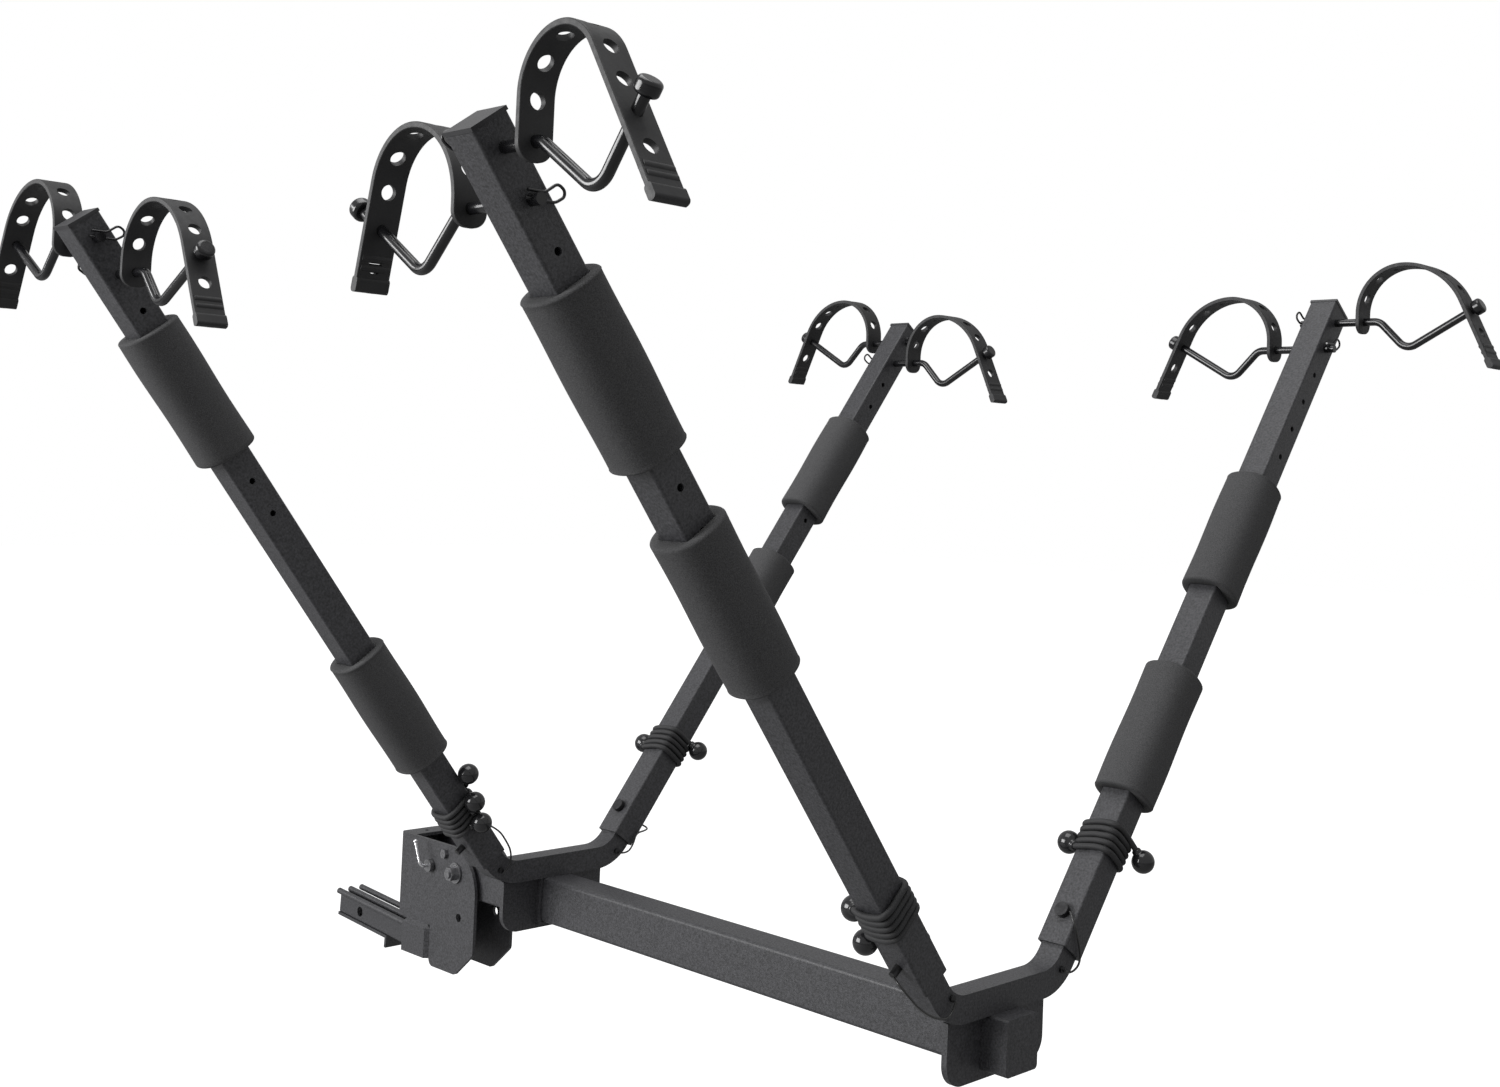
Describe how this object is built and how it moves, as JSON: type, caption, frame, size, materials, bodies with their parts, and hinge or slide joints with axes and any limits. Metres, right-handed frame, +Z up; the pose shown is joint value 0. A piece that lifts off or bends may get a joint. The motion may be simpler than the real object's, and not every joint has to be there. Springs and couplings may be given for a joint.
{
  "type": "hitch mounted bike rack",
  "caption": "Folding bike rack for a towing receiver: a square beam carries V-shaped pairs of padded arms with bent hooks and rubber straps at their tops.",
  "frame": {"origin": "centre of the hitch pin hole in the insert tube", "axes": "+X rearwards along the beam, away from the vehicle; +Y to the rack's right, along the hitch pin hole; +Z up"},
  "size_m": [1.6477, 1.5227, 1.1418],
  "materials": {
    "powder_coat": "fine textured satin black powder coat",
    "zinc_steel": "dull dark zinc",
    "bushing_steel": "oiled turned steel",
    "handle_steel": "bright plated",
    "black_plastic": "moulded satin",
    "foam": "matt closed-cell foam",
    "elastic_cord": "braided",
    "ball_plastic": "glossy moulded",
    "cable_cover": "smooth extruded",
    "dipped_steel": "glossy vinyl dip over steel rod",
    "strap_rubber": "moulded satin rubber"
  },
  "bodies": {
    "hitch_mount": {"insert_tube": "powder_coat", "insert_collar": "powder_coat", "adapter_rods": "powder_coat", "adapter_plate": "powder_coat", "tilt_bracket": "powder_coat", "pivot_bolt": "zinc_steel", "pivot_washers": "zinc_steel", "pivot_nut": "zinc_steel", "stop_bolt": "zinc_steel"},
    "lock_pin_body": {"lock_pin": "zinc_steel", "lock_pin_handle": "handle_steel"},
    "rack": {"pivot_tongue": "powder_coat", "pivot_bushing": "bushing_steel", "main_beam": "powder_coat", "front_beam_collar": "powder_coat", "rear_beam_socket": "powder_coat", "front_hanger_plate": "powder_coat", "rear_hanger_plate": "powder_coat", "front_crossbar": "powder_coat", "rear_crossbar": "powder_coat", "arm_end_caps": "black_plastic", "bungee_balls": "ball_plastic", "lanyard_rivets": "zinc_steel", "front_left_arm": "powder_coat", "front_left_pads": "foam", "front_left_bungee": "elastic_cord", "front_left_lanyard": "cable_cover", "front_right_arm": "powder_coat", "front_right_pads": "foam", "front_right_bungee": "elastic_cord", "front_right_lanyard": "cable_cover", "rear_left_arm": "powder_coat", "rear_left_pads": "foam", "rear_left_bungee": "elastic_cord", "rear_left_lanyard": "cable_cover", "rear_right_arm": "powder_coat", "rear_right_pads": "foam", "rear_right_bungee": "elastic_cord", "rear_right_lanyard": "cable_cover"},
    "front_left_pin_body": {"front_left_pin": "zinc_steel"},
    "front_right_pin_body": {"front_right_pin": "zinc_steel"},
    "rear_left_pin_body": {"rear_left_pin": "zinc_steel"},
    "rear_right_pin_body": {"rear_right_pin": "zinc_steel"},
    "front_left_outer_hook_body": {"front_left_outer_hook": "dipped_steel", "front_left_outer_strap": "strap_rubber"},
    "front_left_inner_hook_body": {"front_left_inner_hook": "dipped_steel", "front_left_inner_strap": "strap_rubber"},
    "front_right_outer_hook_body": {"front_right_outer_hook": "dipped_steel", "front_right_outer_strap": "strap_rubber"},
    "front_right_inner_hook_body": {"front_right_inner_hook": "dipped_steel", "front_right_inner_strap": "strap_rubber"},
    "rear_left_outer_hook_body": {"rear_left_outer_hook": "dipped_steel", "rear_left_outer_strap": "strap_rubber"},
    "rear_left_inner_hook_body": {"rear_left_inner_hook": "dipped_steel", "rear_left_inner_strap": "strap_rubber"},
    "rear_right_outer_hook_body": {"rear_right_outer_hook": "dipped_steel", "rear_right_outer_strap": "strap_rubber"},
    "rear_right_inner_hook_body": {"rear_right_inner_hook": "dipped_steel", "rear_right_inner_strap": "strap_rubber"}
  },
  "joints": [
    {"name": "fold", "type": "hinge", "parent": "hitch_mount", "child": "rack", "pos_m": [0.3, 0, 0.121], "axis": [0, -1, 0], "range_deg": [0, 100]},
    {"name": "lock_pin_slide", "type": "slide", "parent": "hitch_mount", "child": "lock_pin_body", "axis": [0, -1, 0], "range_m": [0, 0.1]},
    {"name": "front_left_pin_slide", "type": "slide", "parent": "rack", "child": "front_left_pin_body", "axis": [0, 0.7999, 0.6001], "range_m": [0, 0.055]},
    {"name": "front_left_outer_swing", "type": "hinge", "parent": "rack", "child": "front_left_outer_hook_body", "pos_m": [0.491, -0.71915, 0.99327], "axis": [1, 0, 0], "continuous": true},
    {"name": "front_left_inner_swing", "type": "hinge", "parent": "rack", "child": "front_left_inner_hook_body", "pos_m": [0.491, -0.68914, 0.95327], "axis": [1, 0, 0], "continuous": true},
    {"name": "front_right_pin_slide", "type": "slide", "parent": "rack", "child": "front_right_pin_body", "axis": [0, -0.7999, 0.6001], "range_m": [0, 0.055]},
    {"name": "front_right_outer_swing", "type": "hinge", "parent": "rack", "child": "front_right_outer_hook_body", "pos_m": [0.491, 0.71915, 0.99327], "axis": [1, 0, 0], "continuous": true},
    {"name": "front_right_inner_swing", "type": "hinge", "parent": "rack", "child": "front_right_inner_hook_body", "pos_m": [0.491, 0.68914, 0.95327], "axis": [1, 0, 0], "continuous": true},
    {"name": "rear_left_pin_slide", "type": "slide", "parent": "rack", "child": "rear_left_pin_body", "axis": [0, 0.7999, 0.6001], "range_m": [0, 0.055]},
    {"name": "rear_left_outer_swing", "type": "hinge", "parent": "rack", "child": "rear_left_outer_hook_body", "pos_m": [1.321, -0.73115, 1.00926], "axis": [1, 0, 0], "continuous": true},
    {"name": "rear_left_inner_swing", "type": "hinge", "parent": "rack", "child": "rear_left_inner_hook_body", "pos_m": [1.321, -0.70114, 0.96927], "axis": [1, 0, 0], "continuous": true},
    {"name": "rear_right_pin_slide", "type": "slide", "parent": "rack", "child": "rear_right_pin_body", "axis": [0, -0.7999, 0.6001], "range_m": [0, 0.055]},
    {"name": "rear_right_outer_swing", "type": "hinge", "parent": "rack", "child": "rear_right_outer_hook_body", "pos_m": [1.321, 0.72275, 0.99806], "axis": [1, 0, 0], "continuous": true},
    {"name": "rear_right_inner_swing", "type": "hinge", "parent": "rack", "child": "rear_right_inner_hook_body", "pos_m": [1.321, 0.69274, 0.95807], "axis": [1, 0, 0], "continuous": true}
  ]
}
